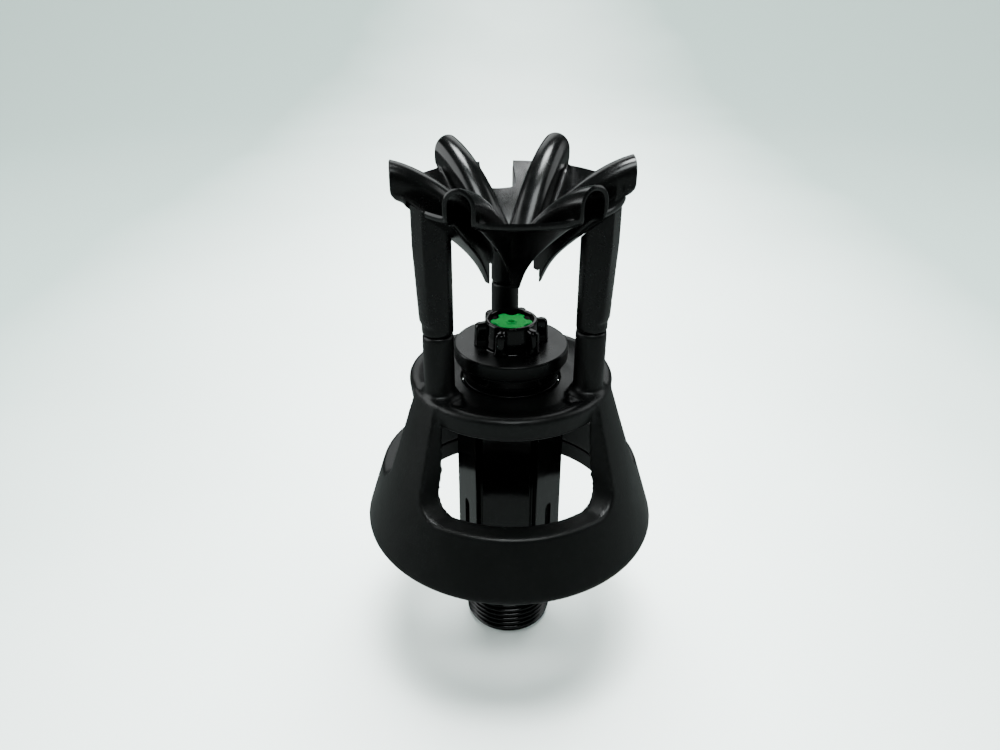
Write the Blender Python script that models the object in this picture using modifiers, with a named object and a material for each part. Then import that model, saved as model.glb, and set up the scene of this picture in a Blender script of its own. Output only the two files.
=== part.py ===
"""Wobbling low-pressure sprinkler with a six-channel deflector on a weighted cage.

Outlines are in millimetres, as (radius, height) points with heights counted from the inlet's threaded end.
The origin is the centre of that end, +Z points at the deflector, and azimuths are counted from -Y towards
+X. Every part is made in metres.
"""

import math

import bmesh
import bpy

MM = 0.001
GAP = 0.3
ROUND_STEPS = 40
SMALL_STEPS = 24

# Driving dimensions, in millimetres and degrees
SKIRT_RADIUS = 42.1
SKIRT_BOTTOM = 40.0
CONE_SLOPE = 0.314
SILL_HEIGHT = 57.5
HUB_BOTTOM = 80.7
HUB_TOP = 87.0
LUG_HALF_WIDTH_TOP = 5.3
LUG_HALF_WIDTH_LOW = 8.0
LUG_CORNER_RADIUS = 7.0
LUG_AZIMUTHS = (-55.0, 65.0, 185.0)
POST_CIRCLE = 22.4
POST_RADIUS = 4.0
SEAM_HEIGHT = 103.8

THREAD_PITCH = 1.814
THREAD_DEPTH = 1.1
THREAD_CREST_RADIUS = 12.95
THREAD_TAPER = 1.0 / 32.0
THREAD_TURNS = 6
INLET_BORE = 8.2
COLLAR_LOW = 14.0
COLLAR_TOP = 24.0
COLLAR_FLAT_RADIUS = 13.2
SPIGOT_TOP = 34.0
SPIGOT_RADIUS = 10.4

COLUMN_FLAT_RADIUS = 13.6
COLUMN_CORNER_AZIMUTH = 26.0
COLUMN_TOP = 78.7
RIB_GROOVE_WIDTH = 2.0
RIB_GROOVE_FLOOR = 13.0
NECK_RADIUS = 8.0
NECK_TOP = 95.0
COLUMN_BORE = 6.0
SOCKET_RADIUS = 6.2
SOCKET_FLOOR = 86.9

PIVOT_HEIGHT = 83.7
RACE_RADIUS = 15.0
BALL_RADIUS = 10.6
BUSHING_RADIUS = 13.0
FLANGE_RADIUS = 15.3
FLANGE_TOP = 95.3

CAP_RADIUS = 6.9
CAP_RIM_RADIUS = 5.9
CAP_TOP = 102.2
WING_RADIUS = 10.0
WING_HALF_WIDTH = 1.3
WING_TOP = 101.3
WING_AZIMUTH = -18.0
ORIFICE_RADIUS = 1.7
LOBE_RADIUS = 5.5
LOBE_VALLEY_RADIUS = 4.4

RIDGE_AZIMUTH = 37.0
RIDGE_OUTER_HALF = 4.0
RIDGE_INNER_HALF = 2.9
RIDGE_LENGTH = 29.5
CREST_END = 144.6
WEB_RIM_RADIUS = 27.2
WEB_RIM_HEIGHT = 135.4
WEB_SLOPE = 0.85
WEB_TIP_RADIUS = 8.2
WEB_TIP_DROP = 4.45
WEB_TIP_REACH = 2.6
SHEET_THICKNESS = 1.2
NOTCHES = ((-55.8, 4.6), (84.5, 4.6), (190.0, 4.6))
NOTCH_START = 20.5
LEG_SLOT_HALF = 2.1


# ---------------------------------------------------------------- helpers

def clear_scene():
    for old in list(bpy.data.objects):
        bpy.data.objects.remove(old, do_unlink=True)


def make_collection(name):
    collection = bpy.data.collections.new(name)
    bpy.context.scene.collection.children.link(collection)
    return collection


def plastic(name, colour, roughness, metallic=0.0):
    material = bpy.data.materials.new(name)
    material.use_nodes = True
    shader = material.node_tree.nodes["Principled BSDF"]
    shader.inputs["Base Color"].default_value = (*colour, 1.0)
    shader.inputs["Roughness"].default_value = roughness
    shader.inputs["Metallic"].default_value = metallic
    return material


def direction(azimuth):
    """Unit vector of an azimuth, counted from -Y towards +X."""
    angle = math.radians(azimuth)
    return (math.sin(angle), -math.cos(angle))


def add_object(name, mesh, group, material=None, base=0.0, parent=None):
    """Put a mesh in a collection with its origin on the main axis, at a base height."""
    piece = bpy.data.objects.new(name, mesh)
    group.objects.link(piece)
    piece.location = (0.0, 0.0, base * MM)
    if parent is not None:
        piece.parent = parent
        piece.location = (0.0, 0.0, base * MM - parent.location.z)
    if material is not None:
        mesh.materials.append(material)
    if group is cutters:
        piece.hide_render = True
        piece.display_type = "WIRE"
    return piece


def turned(name, outline, group, material=None, base=0.0, parent=None, steps=ROUND_STEPS):
    """Turn a closed outline, listed down its outer side and up its inner side, round the Z axis."""
    points = [(radius * MM, 0.0, (height - base) * MM) for radius, height in outline]
    edges = [(i, (i + 1) % len(points)) for i in range(len(points))]
    mesh = bpy.data.meshes.new(name)
    mesh.from_pydata(points, edges, [])
    piece = add_object(name, mesh, group, material, base, parent)
    screw = piece.modifiers.new("turn", "SCREW")
    screw.axis = "Z"
    screw.angle = math.tau
    screw.steps = steps
    screw.render_steps = steps
    screw.use_smooth_shade = True
    screw.merge_threshold = 0.00001
    return piece


def extruded(name, outline, low, high, group, material=None, base=0.0, parent=None):
    """Extrude a flat outline of (x, y) points between two heights."""
    curve = bpy.data.curves.new(name + "_outline", "CURVE")
    curve.dimensions = "2D"
    curve.fill_mode = "BOTH"
    curve.extrude = (high - low) * MM / 2.0
    spline = curve.splines.new("POLY")
    spline.points.add(len(outline) - 1)
    for point, (x, y) in zip(spline.points, outline):
        point.co = (x * MM, y * MM, 0.0, 1.0)
    spline.use_cyclic_u = True
    flat = bpy.data.objects.new(name + "_flat", curve)
    bpy.context.scene.collection.objects.link(flat)
    bpy.context.view_layer.update()
    evaluated = flat.evaluated_get(bpy.context.evaluated_depsgraph_get())
    mesh = bpy.data.meshes.new_from_object(evaluated)
    mesh.name = name
    bpy.data.objects.remove(flat, do_unlink=True)
    shape = bmesh.new()
    shape.from_mesh(mesh)
    bmesh.ops.remove_doubles(shape, verts=shape.verts, dist=0.00001)
    bmesh.ops.translate(shape, verts=shape.verts, vec=(0.0, 0.0, ((low + high) / 2.0 - base) * MM))
    bmesh.ops.recalc_face_normals(shape, faces=shape.faces)
    shape.to_mesh(mesh)
    shape.free()
    return add_object(name, mesh, group, material, base, parent)


def block(name, low, high, group, material=None, base=0.0, parent=None):
    """A box between two corners."""
    shape = bmesh.new()
    bmesh.ops.create_cube(shape, size=1.0)
    for vertex in shape.verts:
        vertex.co.x = (low[0] if vertex.co.x < 0 else high[0]) * MM
        vertex.co.y = (low[1] if vertex.co.y < 0 else high[1]) * MM
        vertex.co.z = ((low[2] if vertex.co.z < 0 else high[2]) - base) * MM
    mesh = bpy.data.meshes.new(name)
    shape.to_mesh(mesh)
    shape.free()
    return add_object(name, mesh, group, material, base, parent)


def rod(name, radius, low, high, group, steps=SMALL_STEPS):
    """A plain cylinder on the Z axis."""
    shape = bmesh.new()
    bmesh.ops.create_cone(shape, cap_ends=True, segments=steps, radius1=radius * MM, radius2=radius * MM,
                          depth=(high - low) * MM)
    bmesh.ops.translate(shape, verts=shape.verts, vec=(0.0, 0.0, (low + high) / 2.0 * MM))
    mesh = bpy.data.meshes.new(name)
    shape.to_mesh(mesh)
    shape.free()
    return add_object(name, mesh, group)


def combine(piece, tool, operation):
    """Boolean one object with a tool from the cutters collection."""
    boolean = piece.modifiers.new(tool.name, "BOOLEAN")
    boolean.operation = operation
    boolean.solver = "EXACT"
    boolean.object = tool


def move_to_post(piece, azimuth):
    """Place a piece made at the origin on the post circle, its -Y side facing outwards."""
    x, y = direction(azimuth)
    piece.location.x = POST_CIRCLE * MM * x
    piece.location.y = POST_CIRCLE * MM * y
    piece.rotation_euler.z = math.radians(azimuth)


def cone_radius(height):
    """Outer radius of the cage's cone."""
    return SKIRT_RADIUS - CONE_SLOPE * (height - SKIRT_BOTTOM)


def circle(radius, steps, start=0.0):
    """Points of a circle in the XY plane, anticlockwise."""
    angles = [start + math.tau * i / steps for i in range(steps)]
    return [(radius * math.cos(a), radius * math.sin(a)) for a in angles]


# ---------------------------------------------------------------- fixed body

def thread_outline():
    """The taper thread as V ridges, listed from its top down to the chamfered end."""
    points = []
    top = 1.2 + THREAD_TURNS * THREAD_PITCH
    for half_turn in range(2 * THREAD_TURNS + 1):
        height = top - half_turn * THREAD_PITCH / 2.0
        radius = THREAD_CREST_RADIUS + THREAD_TAPER * height
        if half_turn % 2 == 0:
            radius -= THREAD_DEPTH
        points.append((radius, height))
    return points + [(THREAD_CREST_RADIUS - THREAD_DEPTH, 0.0)]


def make_inlet_adapter():
    relief = THREAD_CREST_RADIUS - THREAD_DEPTH
    outline = [(SPIGOT_RADIUS - 0.6, SPIGOT_TOP), (SPIGOT_RADIUS, SPIGOT_TOP - 0.8)]
    outline += [(SPIGOT_RADIUS, COLLAR_TOP - 2.0), (relief, COLLAR_TOP - 3.0)]
    outline += [(relief, COLLAR_LOW - 1.0)] + thread_outline()
    outline += [(INLET_BORE + 0.6, 0.0), (INLET_BORE, 0.6), (INLET_BORE, SPIGOT_TOP)]
    adapter = turned("inlet_adapter", outline, parts, gloss_black)
    corner = COLLAR_FLAT_RADIUS / math.cos(math.radians(30.0))
    hexagon = circle(corner, 6, math.radians(COLUMN_CORNER_AZIMUTH - 90.0))
    collar = extruded("collar_hexagon", hexagon, COLLAR_LOW, COLLAR_TOP, cutters)
    waterway = rod("collar_waterway", INLET_BORE + 1.0, COLLAR_LOW - 4.0, COLLAR_TOP + 4.0, cutters)
    combine(collar, waterway, "DIFFERENCE")
    combine(adapter, collar, "UNION")


def make_inlet_seal():
    low = SPIGOT_TOP + GAP
    outline = [(SPIGOT_RADIUS - 0.4, low + 1.5), (SPIGOT_RADIUS - 0.4, low), (INLET_BORE, low)]
    turned("inlet_seal", outline + [(INLET_BORE, low + 1.5)], parts, rubber, steps=SMALL_STEPS)


def column_outline():
    """Hexagon with a square groove down each corner."""
    points = []
    half = RIB_GROOVE_WIDTH / 2.0
    lip = (COLUMN_FLAT_RADIUS - 0.5 * half) / math.cos(math.radians(30.0))
    for corner in range(6):
        angle = math.radians(COLUMN_CORNER_AZIMUTH - 90.0 + 60.0 * corner)
        for along, across in ((lip, -half), (RIB_GROOVE_FLOOR, -half), (RIB_GROOVE_FLOOR, half), (lip, half)):
            x = along * math.cos(angle) - across * math.sin(angle)
            y = along * math.sin(angle) + across * math.cos(angle)
            points.append((x, y))
    return points


def make_riser_column():
    column = extruded("riser_column", column_outline(), COLLAR_TOP + GAP, COLUMN_TOP, parts, gloss_black)
    neck = rod("neck_blank", NECK_RADIUS, COLUMN_TOP - 10.0, NECK_TOP, cutters, ROUND_STEPS)
    combine(column, neck, "UNION")
    socket_low = SPIGOT_TOP + 2.1
    bore = [(SOCKET_RADIUS, NECK_TOP + 1.0), (SOCKET_RADIUS, SOCKET_FLOOR), (4.4, SOCKET_FLOOR)]
    bore += [(4.4, 86.0), (COLUMN_BORE, 84.5), (COLUMN_BORE, 42.0), (INLET_BORE, socket_low)]
    bore += [(SPIGOT_RADIUS + GAP, socket_low), (SPIGOT_RADIUS + GAP, COLLAR_TOP - 1.0)]
    bore += [(0.5, COLLAR_TOP - 1.0), (0.5, NECK_TOP + 1.0)]
    waterway = turned("column_waterway", bore, cutters, steps=ROUND_STEPS)
    axis_core = rod("column_core", 1.0, COLLAR_TOP - 0.5, NECK_TOP + 0.5, cutters)
    combine(column, waterway, "DIFFERENCE")
    combine(column, axis_core, "DIFFERENCE")


def make_flow_straightener():
    reach = COLUMN_BORE - GAP
    half = 0.6
    arm = [(half, half), (half, reach), (-half, reach)]
    outline = []
    for quarter in range(4):
        turn = math.radians(90.0 * quarter)
        outline += [(x * math.cos(turn) - y * math.sin(turn), x * math.sin(turn) + y * math.cos(turn))
                    for x, y in arm]
    extruded("flow_straightener", outline, 60.0, 84.0, parts, white_plastic)


def make_races():
    inner = NECK_RADIUS + GAP
    low = COLUMN_TOP + GAP
    outline = [(RACE_RADIUS, low + 1.0), (RACE_RADIUS, low), (inner, low), (inner, low + 1.0)]
    turned("lower_race", outline, parts, steel)
    outline = [(13.4, 90.7), (13.7, 90.2), (13.7, 87.8), (13.2, 87.3), (inner, 87.3), (inner, 90.7)]
    turned("upper_race", outline, parts, gloss_black)


def make_retaining_flange():
    inner = NECK_RADIUS + GAP
    low = 91.0
    rim = FLANGE_RADIUS
    outline = [(rim - 0.5, FLANGE_TOP), (rim, FLANGE_TOP - 0.5), (rim, low + 0.4), (rim - 0.4, low)]
    turned("retaining_flange", outline + [(inner, low), (inner, FLANGE_TOP)], parts, satin_black)


def make_nozzle():
    low = SOCKET_FLOOR + GAP
    outline = [(5.9, low + 1.4), (5.9, low), (4.5, low), (4.5, low + 1.4)]
    turned("nozzle_seal", outline, parts, rubber, steps=SMALL_STEPS)

    outline = [(CAP_RIM_RADIUS + 0.5, CAP_TOP), (CAP_RADIUS, CAP_TOP - 0.5), (CAP_RADIUS + 0.6, 95.6)]
    outline += [(SOCKET_RADIUS - GAP, 95.6), (SOCKET_RADIUS - GAP, 88.9), (4.6, 88.9), (4.6, 99.9)]
    outline += [(CAP_RIM_RADIUS, 99.9), (CAP_RIM_RADIUS, CAP_TOP)]
    cap = turned("nozzle_cap", outline, parts, gloss_black)
    for wing in range(6):
        low_corner = (-WING_HALF_WIDTH, -WING_RADIUS, 95.9)
        high_corner = (WING_HALF_WIDTH, -CAP_RIM_RADIUS - 0.4, WING_TOP)
        blade = block("cap_wing_%d" % (wing + 1), low_corner, high_corner, cutters)
        blade.rotation_euler.z = math.radians(WING_AZIMUTH + 60.0 * wing)
        bevel = blade.modifiers.new("round", "BEVEL")
        bevel.width = 0.6 * MM
        bevel.segments = 2
        combine(cap, blade, "UNION")

    lobes = []
    steps = 36
    mean = (LOBE_RADIUS + LOBE_VALLEY_RADIUS) / 2.0
    swing = (LOBE_RADIUS - LOBE_VALLEY_RADIUS) / 2.0
    for i in range(steps):
        angle = math.tau * i / steps
        radius = mean + swing * math.cos(6.0 * angle)
        lobes.append((radius * math.cos(angle), radius * math.sin(angle)))
    insert = extruded("nozzle_insert", lobes, 100.2, 101.5, parts, green_plastic)
    stem = turned("nozzle_stem", [(4.3, 100.6), (4.3, 96.0), (3.4, 96.0), (2.6, 100.6)], cutters,
                  steps=SMALL_STEPS)
    orifice = rod("nozzle_orifice", ORIFICE_RADIUS, 95.0, 103.0, cutters)
    throat = turned("nozzle_throat", [(1.5, 100.9), (3.4, 95.5), (0.4, 95.5), (0.4, 100.9)], cutters,
                    steps=SMALL_STEPS)
    combine(insert, stem, "UNION")
    combine(insert, throat, "DIFFERENCE")
    combine(insert, orifice, "DIFFERENCE")


# ---------------------------------------------------------------- wobbling body

def arc_points(radius, reach, steps):
    """Points (radius, height) of a ball's side about the pivot, from +reach down to -reach."""
    points = []
    for i in range(steps + 1):
        rise = reach * (1.0 - 2.0 * i / steps)
        points.append((math.sqrt(radius ** 2 - rise ** 2), PIVOT_HEIGHT + rise))
    return points


def make_bearing():
    inner = NECK_RADIUS + GAP
    reach = 3.3
    outline = arc_points(BALL_RADIUS, reach, 6)
    outline += [(inner, PIVOT_HEIGHT - reach), (inner, PIVOT_HEIGHT + reach)]
    turned("bearing_ring", outline, parts, satin_black, PIVOT_HEIGHT, pivot, SMALL_STEPS)

    reach = 1.8
    outline = [(BUSHING_RADIUS, PIVOT_HEIGHT + reach), (BUSHING_RADIUS, PIVOT_HEIGHT - reach)]
    outline += list(reversed(arc_points(BALL_RADIUS + GAP, reach, 4)))
    turned("hub_bushing", outline, parts, satin_black, PIVOT_HEIGHT, pivot, SMALL_STEPS)


def cage_outline():
    """Section of the whole cage: hub bowl, cone and skirt with the pocket for the weight."""
    wall = 2.0
    outline = [(26.2, HUB_TOP + 0.1), (27.4, HUB_TOP - 0.3), (cone_radius(85.6), 85.6)]
    outline += [(SKIRT_RADIUS - 0.3, SKIRT_BOTTOM + 1.0), (SKIRT_RADIUS - 0.6, SKIRT_BOTTOM)]
    outline += [(SKIRT_RADIUS - wall, SKIRT_BOTTOM), (cone_radius(55.2) - wall, 55.2)]
    outline += [(32.7, 55.2), (32.7, 46.3), (31.0, 46.3), (31.0, SILL_HEIGHT - 1.0)]
    outline += [(27.8, 67.0), (26.0, HUB_BOTTOM), (24.5, 80.9), (20.0, 81.5), (16.5, 82.0)]
    outline += [(BUSHING_RADIUS + GAP, 82.0), (BUSHING_RADIUS + GAP, 85.4), (18.5, 84.3)]
    outline += [(21.5, 84.9), (23.9, 86.0), (25.2, HUB_TOP)]
    return outline


def lug_half_width(height):
    """Half the width of a lug: it tapers upwards and flares into the sill with a round corner."""
    corner_top = SILL_HEIGHT + LUG_CORNER_RADIUS
    if height >= corner_top:
        share = (height - corner_top) / (HUB_TOP - corner_top)
        return LUG_HALF_WIDTH_LOW + (LUG_HALF_WIDTH_TOP - LUG_HALF_WIDTH_LOW) * share
    drop = corner_top - height
    return LUG_HALF_WIDTH_LOW + LUG_CORNER_RADIUS - math.sqrt(LUG_CORNER_RADIUS ** 2 - drop ** 2)


def make_window_cutter(index):
    """The wedge between two lugs, lofted upwards through sections whose sides follow the lugs' width."""
    corner_steps = 5
    heights = [SILL_HEIGHT + LUG_CORNER_RADIUS * (1.0 - math.cos(math.radians(90.0 * i / corner_steps)))
               for i in range(corner_steps + 1)]
    heights.append(HUB_BOTTOM)
    shape = bmesh.new()
    rings = []
    for height in heights:
        half = lug_half_width(height)
        apex = half / math.sin(math.radians(60.0))
        section = []
        for side in (-1.0, 0.0, 1.0):
            azimuth = math.radians(60.0 * side)
            reach = 60.0 if side else 0.0
            x = reach * math.sin(azimuth)
            y = -apex - reach * math.cos(azimuth)
            section.append(shape.verts.new((x * MM, y * MM, (height - PIVOT_HEIGHT) * MM)))
        rings.append(section)
    for below, above in zip(rings, rings[1:]):
        for i in range(3):
            j = (i + 1) % 3
            shape.faces.new((below[i], below[j], above[j], above[i]))
    shape.faces.new(rings[0])
    shape.faces.new(rings[-1])
    bmesh.ops.recalc_face_normals(shape, faces=shape.faces)
    mesh = bpy.data.meshes.new("window_%d" % index)
    shape.to_mesh(mesh)
    shape.free()
    cutter = add_object("window_%d" % index, mesh, cutters, None, PIVOT_HEIGHT)
    cutter.rotation_euler.z = math.radians(LUG_AZIMUTHS[index - 1] + 60.0)
    return cutter


def make_cage():
    cage = turned("cage", cage_outline(), parts, satin_black, PIVOT_HEIGHT, pivot)
    for index in (1, 2, 3):
        combine(cage, make_window_cutter(index), "DIFFERENCE")
    for index, azimuth in enumerate(LUG_AZIMUTHS, start=1):
        stub = rod("stub_%d" % index, POST_RADIUS, 82.2, SEAM_HEIGHT, cutters)
        boss = rod("boss_%d" % index, POST_RADIUS + 1.2, 82.0, 86.6, cutters)
        hole = rod("stub_hole_%d" % index, 1.8, 70.0, SEAM_HEIGHT + 1.0, cutters, 12)
        pocket = rod("head_pocket_%d" % index, 3.1, 70.0, 84.0, cutters, 12)
        for tool, operation in ((boss, "UNION"), (stub, "UNION"), (hole, "DIFFERENCE"),
                                (pocket, "DIFFERENCE")):
            move_to_post(tool, azimuth)
            combine(cage, tool, operation)


def make_weight():
    wall = 2.0 + GAP
    low, high = 43.6, 54.9
    outline = [(cone_radius(high) - wall - 0.4, high), (cone_radius(low) - wall, low), (33.0, low)]
    turned("weight_ring", outline + [(33.0, high)], parts, steel, PIVOT_HEIGHT, pivot)
    low, shelf, lip = 40.8, 43.2, 46.0
    outline = [(cone_radius(shelf) - wall - 0.2, shelf), (cone_radius(low) - wall - 0.2, low), (31.0, low)]
    outline += [(31.0, lip), (32.4, lip), (32.4, shelf)]
    turned("weight_cover", outline, parts, satin_black, PIVOT_HEIGHT, pivot)


# ---------------------------------------------------------------- deflector

def crest_height(along):
    """Height of a ridge's crest, a parabola that levels off at the open end."""
    inward = RIDGE_LENGTH - along
    return CREST_END - 0.25 * inward - 0.0207 * inward ** 2


def web_height(radius):
    """Height of a web's underside: a cone that drops away ever more steeply towards its tip."""
    cone = WEB_RIM_HEIGHT - WEB_SLOPE * (WEB_RIM_RADIUS - radius)
    return cone - WEB_TIP_DROP * math.exp((WEB_TIP_RADIUS - radius) / WEB_TIP_REACH)


def slope_thickness(height_of, position):
    """The sheet's vertical thickness where its surface climbs."""
    slope = (height_of(position + 0.1) - height_of(position - 0.1)) / 0.2
    return SHEET_THICKNESS * math.sqrt(1.0 + slope ** 2)


def sheet_section(half, share, is_top):
    """One ridge and its two half webs, across the ridge, at a share of the way from centre to rim.

    Points are (along, across, height) with the ridge running along +X.
    """
    def web_level(radius):
        held = min(radius, WEB_RIM_RADIUS)
        return web_height(held) + (slope_thickness(web_height, held) if is_top else 0.0)

    def crest_level(along):
        return crest_height(along) - (0.0 if is_top else slope_thickness(crest_height, along))

    arch_steps = 8
    web_steps = 3
    meet = half / math.tan(math.radians(30.0))
    wall_end = math.sqrt(WEB_RIM_RADIUS ** 2 - half ** 2)
    side = []
    foot = meet + share * (wall_end - meet)
    radius = math.hypot(foot, half)
    foot_angle = math.asin(half / radius)
    for i in range(web_steps + 1):
        angle = math.radians(30.0) + (foot_angle - math.radians(30.0)) * i / web_steps
        side.append((radius * math.cos(angle), radius * math.sin(angle), web_level(radius)))
    low = meet + share * (RIDGE_LENGTH - meet)
    rise = 0.5 + (0.6 - 1.3 * share ** 4)
    side.append((low, half, web_level(math.hypot(low, half)) + rise))
    for i in range(arch_steps // 2 + 1):
        angle = math.radians(90.0 * (1.0 - 2.0 * i / arch_steps))
        across = half * math.sin(angle)
        start = across / math.tan(math.radians(30.0))
        along = start + share * (RIDGE_LENGTH - start)
        side.append((along, across, crest_level(along) - half + half * math.cos(angle)))
    mirrored = [(along, -across, height) for along, across, height in reversed(side[:-1])]
    return side + mirrored


def sheet_grid(shape, half, is_top):
    """Vertices of one face of the sheet, as rings from the centre to the rim."""
    levels = (0.0, 0.1, 0.25, 0.45, 0.65, 0.85, 1.0)
    rings = []
    for share in levels:
        section = sheet_section(half, share, is_top)
        ring = []
        for ridge in range(6):
            angle = math.radians(RIDGE_AZIMUTH - 90.0 - 60.0 * ridge)
            for along, across, height in section[:-1]:
                x = along * math.cos(angle) - across * math.sin(angle)
                y = along * math.sin(angle) + across * math.cos(angle)
                ring.append(shape.verts.new((x * MM, y * MM, (height - PIVOT_HEIGHT) * MM)))
        rings.append(ring)
    return rings


def make_deflector():
    shape = bmesh.new()
    top = sheet_grid(shape, RIDGE_OUTER_HALF, True)
    bottom = sheet_grid(shape, RIDGE_INNER_HALF, False)
    strips = list(zip(top, top[1:])) + list(zip(bottom[1:], bottom)) + [(top[-1], bottom[-1])]
    for first, second in strips:
        for i in range(len(first)):
            j = (i + 1) % len(first)
            shape.faces.new((first[i], first[j], second[j], second[i]))
    bmesh.ops.remove_doubles(shape, verts=shape.verts, dist=0.00002)
    bmesh.ops.recalc_face_normals(shape, faces=shape.faces)
    mesh = bpy.data.meshes.new("deflector")
    shape.to_mesh(mesh)
    shape.free()
    deflector = add_object("deflector", mesh, parts, satin_black, PIVOT_HEIGHT, pivot)
    chamber = [(7.9, 119.6), (7.9, 105.0), (0.05, 105.0), (0.05, 116.7), (3.0, 117.3)]
    combine(deflector, turned("jet_chamber", chamber, cutters), "DIFFERENCE")
    for index, (azimuth, half_width) in enumerate(NOTCHES, start=1):
        notch = block("notch_%d" % index, (-half_width, -32.0, 127.0),
                      (half_width, -NOTCH_START, 139.0), cutters)
        notch.rotation_euler.z = math.radians(azimuth)
        combine(deflector, notch, "DIFFERENCE")


def make_legs():
    radii = [32.0, 28.0, 24.0, 20.0, 16.0]
    outline = [(32.0, 150.0)] + [(radius, web_height(radius) - GAP) for radius in radii] + [(16.0, 150.0)]
    web_space = turned("web_space", outline, cutters)
    for name, azimuth in zip(("leg_left", "leg_right", "leg_back"), LUG_AZIMUTHS):
        low = SEAM_HEIGHT + GAP
        shape = bmesh.new()
        bmesh.ops.create_cone(shape, cap_ends=True, segments=SMALL_STEPS, radius1=POST_RADIUS * MM,
                              radius2=POST_RADIUS * MM, depth=(137.0 - low) * MM)
        bmesh.ops.translate(shape, verts=shape.verts, vec=(0.0, 0.0, (137.0 - low) / 2.0 * MM))
        mesh = bpy.data.meshes.new(name)
        shape.to_mesh(mesh)
        shape.free()
        leg = add_object(name, mesh, parts, satin_black, low, pivot)
        move_to_post(leg, azimuth)
        fin = block(name + "_fin", (-2.6, -4.7, 107.0), (2.6, 0.0, 137.0), cutters)
        slot = block(name + "_slot", (-LEG_SLOT_HALF, -8.0, 127.5), (6.0, 3.4, 139.0), cutters)
        pilot = rod(name + "_pilot", 1.75, 100.0, 113.0, cutters, 12)
        for tool, operation in ((fin, "UNION"), (slot, "DIFFERENCE"), (pilot, "DIFFERENCE")):
            move_to_post(tool, azimuth)
            combine(leg, tool, operation)
        combine(leg, web_space, "DIFFERENCE")


def make_leg_screws():
    for name, azimuth in zip(("leg_screw_left", "leg_screw_right", "leg_screw_back"), LUG_AZIMUTHS):
        outline = [(1.45, 112.0), (1.45, 83.6), (2.7, 83.6), (2.7, 81.8), (0.9, 81.8), (0.9, 82.6)]
        outline += [(0.05, 82.6), (0.05, 112.0)]
        screw = turned(name, outline, parts, steel, 81.8, pivot, 12)
        move_to_post(screw, azimuth)


clear_scene()
parts = make_collection("wobbling_sprinkler")
cutters = make_collection("cutters")

gloss_black = plastic("gloss_black", (0.010, 0.010, 0.011), 0.18)
satin_black = plastic("satin_black", (0.022, 0.024, 0.024), 0.48)
white_plastic = plastic("white_plastic", (0.75, 0.75, 0.72), 0.40)
green_plastic = plastic("green_plastic", (0.005, 0.36, 0.07), 0.35)
rubber = plastic("rubber", (0.015, 0.015, 0.015), 0.80)
steel = plastic("steel", (0.55, 0.56, 0.57), 0.30, 1.0)

pivot = bpy.data.objects.new("wobble_pivot", None)
pivot.location = (0.0, 0.0, PIVOT_HEIGHT * MM)
parts.objects.link(pivot)

make_inlet_adapter()
make_inlet_seal()
make_riser_column()
make_flow_straightener()
make_races()
make_retaining_flange()
make_nozzle()
make_bearing()
make_cage()
make_weight()
make_deflector()
make_legs()
make_leg_screws()
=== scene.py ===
import math

import bmesh
import bpy
import numpy as np
from mathutils import Matrix, Vector


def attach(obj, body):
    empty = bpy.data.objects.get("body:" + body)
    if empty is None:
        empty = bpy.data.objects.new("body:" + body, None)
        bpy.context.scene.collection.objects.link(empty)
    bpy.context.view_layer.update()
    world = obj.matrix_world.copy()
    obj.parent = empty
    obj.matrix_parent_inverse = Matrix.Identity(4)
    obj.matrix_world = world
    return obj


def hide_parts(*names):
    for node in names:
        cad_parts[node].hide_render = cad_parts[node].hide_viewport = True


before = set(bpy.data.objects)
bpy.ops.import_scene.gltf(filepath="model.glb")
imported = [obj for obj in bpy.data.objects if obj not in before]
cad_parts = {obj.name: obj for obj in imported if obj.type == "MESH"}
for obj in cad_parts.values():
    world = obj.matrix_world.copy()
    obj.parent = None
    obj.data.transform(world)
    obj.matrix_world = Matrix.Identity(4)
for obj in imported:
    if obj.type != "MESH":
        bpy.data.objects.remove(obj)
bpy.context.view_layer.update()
mm = 0.001


# Heights and radii are in millimetres. Azimuths count from -Y towards +X.

def planAngle(azimuth):
    return np.radians(np.asarray(azimuth, float) - 90.0)


def placed(points, azimuth, radius=0.0):
    # local -Y is turned to face the azimuth, then the points move outwards by the radius
    turn = math.radians(azimuth)
    x, y, z = points[..., 0], points[..., 1], points[..., 2]
    outX, outY = math.sin(turn), -math.cos(turn)
    return np.stack([x * math.cos(turn) - y * math.sin(turn) + radius * outX,
                     x * math.sin(turn) + y * math.cos(turn) + radius * outY, z], axis=-1)


# ---- surfaces

def roundedLoop(corners, reach, steps=5):
    # each corner gives way to a parabola that starts and ends a set distance along its two sides
    corners = np.asarray(corners, float)
    toBefore = np.roll(corners, 1, axis=0) - corners
    toAfter = np.roll(corners, -1, axis=0) - corners
    before = np.linalg.norm(toBefore, axis=1)
    after = np.linalg.norm(toAfter, axis=1)
    cut = np.minimum(reach, 0.48 * np.minimum(before, after))[:, None]
    start = (corners + toBefore / before[:, None] * cut)[:, None]
    end = (corners + toAfter / after[:, None] * cut)[:, None]
    t = np.linspace(0.0, 1.0, steps)[None, :, None]
    curve = (1 - t) ** 2 * start + 2 * t * (1 - t) * corners[:, None] + t ** 2 * end
    return curve.reshape(-1, 2)


def turnedGrid(loop, turns):
    # a section (radius, height) carried once round the Z axis
    angle = np.linspace(0.0, 2 * np.pi, turns, endpoint=False)[None, :]
    radius, height = loop[:, :1], loop[:, 1:]
    return np.stack([radius * np.cos(angle), radius * np.sin(angle), height + 0 * angle], axis=-1)


def roundRow(radius, angle, height):
    # one row of points about the Z axis; the radius may change with the angle
    return np.column_stack([radius * np.cos(angle), radius * np.sin(angle), height + 0 * angle])


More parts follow.
